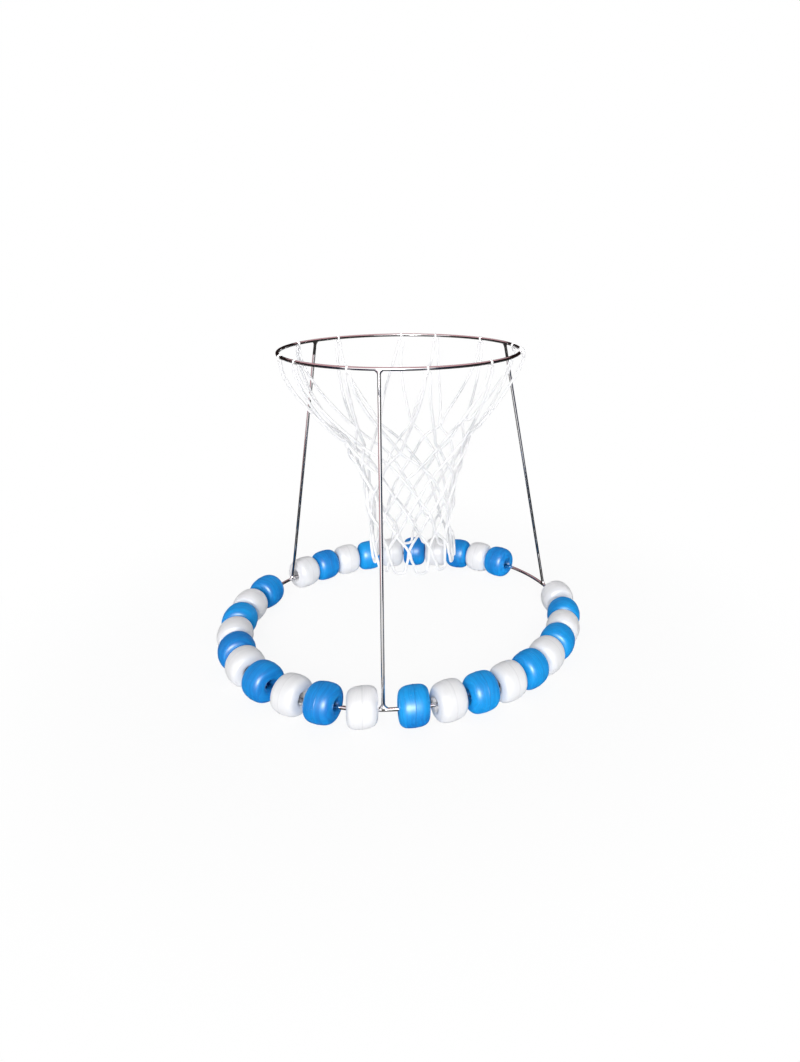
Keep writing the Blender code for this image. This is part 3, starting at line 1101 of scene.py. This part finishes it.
def add_floor():
    """A wide round floor with a smaller face under the hoop."""
    whole, inside = 30, 2
    floor = start_piece(
        "floor", bpy.ops.mesh.primitive_circle_add, vertices=96, radius=whole, fill_type="NGON")
    bpy.ops.mesh.inset(thickness=whole - inside)
    end_shaping()
    floor.data.materials.append(floor_finish())


def flag_finish(name, colour):
    """A board's plain glow."""
    finish = Finish(name)
    finish.end_in("Material Output", finish.glow((*colour, 1), studio().flag_light))
    return finish.material


def add_flag(name, low, high, colour):
    """A board between two corners that only polished surfaces see."""
    low, high = Vector(low), Vector(high)
    middle = (low + high)/2
    flag = start_piece(name, bpy.ops.mesh.primitive_cube_add, size=1, location=middle)
    bpy.ops.transform.resize(value=tuple(high - low), center_override=tuple(middle))
    end_shaping()
    apply_place(flag)
    flag.data.materials.append(flag_finish(name, colour))
    flag.visible_camera = False
    flag.visible_diffuse = False
    flag.visible_transmission = False
    flag.visible_volume_scatter = False
    flag.visible_shadow = False


def add_all_flags():
    """A white card before the hoop and dark or rosy boards beside, behind, over and under it."""
    board = 2*MM
    far = 3.2
    top = 2.4
    low_top = 0.45
    below_rim = rods().rim_height - 0.03
    add_flag("card_front", (-2.6, -2.6, 0), (1.7, -2.6 + board, top), flag_white)
    add_flag("flag_left", (-far, -3.1, 0), (-far + board, far, top), flag_maroon)
    add_flag("flag_right", (2.5, -3.3, 0), (2.5 + board, far, top), flag_maroon)
    add_flag("flag_back", (-far, far, 0), (far, far + board, top), flag_maroon)
    add_flag("flag_over", (-far, -1.9, top), (far, far, top + board), flag_rose)
    add_flag("flag_low_left", (-0.95, -2.55, 0), (-0.95 + board, 0.2, low_top), flag_rose)
    add_flag("flag_low_right", (1.0, -2.1, 0), (1.0 + board, 0.2, low_top), flag_navy)
    leg_front_face = -rods().rim_radius - 5*MM
    add_flag("flag_below_rim", (-0.3, leg_front_face, below_rim), (0.3, 0.5, below_rim + board), flag_grey)
    for name, low_x, high_x in (("left", -0.3, -0.022), ("right", 0.012, 0.3)):
        low = (low_x, -0.33, below_rim)
        high = (high_x, leg_front_face, below_rim + board)
        add_flag(f"flag_below_{name}", low, high, flag_navy)
    add_flag("flag_under", (-far, -0.62, 0.5*MM), (far, far, 0.6*MM), flag_grey)


class HOOP_OT_add_rings(bpy.types.Operator):
    """Add the rim and the float ring"""
    bl_idname = "hoop.add_rings"
    bl_label = "Add Rim and Float Ring"

    def execute(self, context):
        sizes = context.scene.hoop_rods
        add_rod_ring("rim_rod", "rim", sizes.rim_radius, sizes.rim_height, sizes.rim_rod)
        add_rod_ring("float_ring_rod", "float_ring", sizes.ring_radius, sizes.ring_height, sizes.ring_rod)
        return {"FINISHED"}


class HOOP_OT_add_legs(bpy.types.Operator):
    """Add the three welded legs"""
    bl_idname = "hoop.add_legs"
    bl_label = "Add Legs"

    def execute(self, context):
        for index in range(len(leg_names)):
            add_leg(index, context.scene.hoop_rods)
        return {"FINISHED"}


class HOOP_OT_add_floats(bpy.types.Operator):
    """Add the thirty barrel floats"""
    bl_idname = "hoop.add_floats"
    bl_label = "Add Floats"

    def execute(self, context):
        add_all_floats()
        return {"FINISHED"}


class HOOP_OT_add_net(bpy.types.Operator):
    """Add the knotted net"""
    bl_idname = "hoop.add_net"
    bl_label = "Add Net"

    def execute(self, context):
        add_net_cords()
        return {"FINISHED"}


class HOOP_OT_add_ties(bpy.types.Operator):
    """Add the bands that tie the net to the rim"""
    bl_idname = "hoop.add_ties"
    bl_label = "Add Ties"

    def execute(self, context):
        add_all_ties()
        return {"FINISHED"}


class HOOP_OT_add_stage(bpy.types.Operator):
    """Add the floor, the lamps and the photograph's camera"""
    bl_idname = "hoop.add_stage"
    bl_label = "Add Stage"

    def execute(self, context):
        add_floor()
        set_world()
        add_camera()
        add_all_flags()
        behind_camera, hoop = (0.1, -4.5, 2.1), (0, 0, 0.25)
        add_lamp("key_light", behind_camera, hoop, studio().key_strength)
        glint = add_lamp("glint_light", behind_camera, hoop, studio().glint_strength)
        glint.visible_diffuse = False
        context.scene.view_settings.view_transform = "Standard"
        return {"FINISHED"}


class HOOP_PT_sidebar(bpy.types.Panel):
    """The hoop's operators and sizes"""
    bl_idname = "HOOP_PT_sidebar"
    bl_label = "Floating Basketball Hoop"
    bl_space_type = "VIEW_3D"
    bl_region_type = "UI"
    bl_category = "Hoop"

    def draw(self, context):
        for operator in piece_operators:
            self.layout.operator(operator.bl_idname)
        for group in size_groups:
            box = self.layout.box()
            settings = getattr(context.scene, group)
            for name in settings.bl_rna.properties.keys():
                if name not in ("rna_type", "name"):
                    box.prop(settings, name)


piece_operators = (
    HOOP_OT_add_rings, HOOP_OT_add_legs, HOOP_OT_add_floats,
    HOOP_OT_add_net, HOOP_OT_add_ties, HOOP_OT_add_stage)

size_groups = {
    "hoop_rods": RodSizes,
    "hoop_floats": FloatSizes,
    "hoop_net": NetSizes,
    "hoop_colours": FinishColours,
    "hoop_studio": StudioSettings,
}


def register():
    for name, group in size_groups.items():
        bpy.utils.register_class(group)
        setattr(bpy.types.Scene, name, PointerProperty(type=group))
    for listed in (*piece_operators, HOOP_PT_sidebar):
        bpy.utils.register_class(listed)


def unregister():
    for listed in reversed((*piece_operators, HOOP_PT_sidebar)):
        bpy.utils.unregister_class(listed)
    for name, group in reversed(size_groups.items()):
        delattr(bpy.types.Scene, name)
        bpy.utils.unregister_class(group)


def main():
    register()
    bpy.ops.hoop.add_rings()
    bpy.ops.hoop.add_legs()
    bpy.ops.hoop.add_floats()
    bpy.ops.hoop.add_net()
    bpy.ops.hoop.add_ties()
    bpy.ops.hoop.add_stage()


if __name__ == "__main__":
    main()
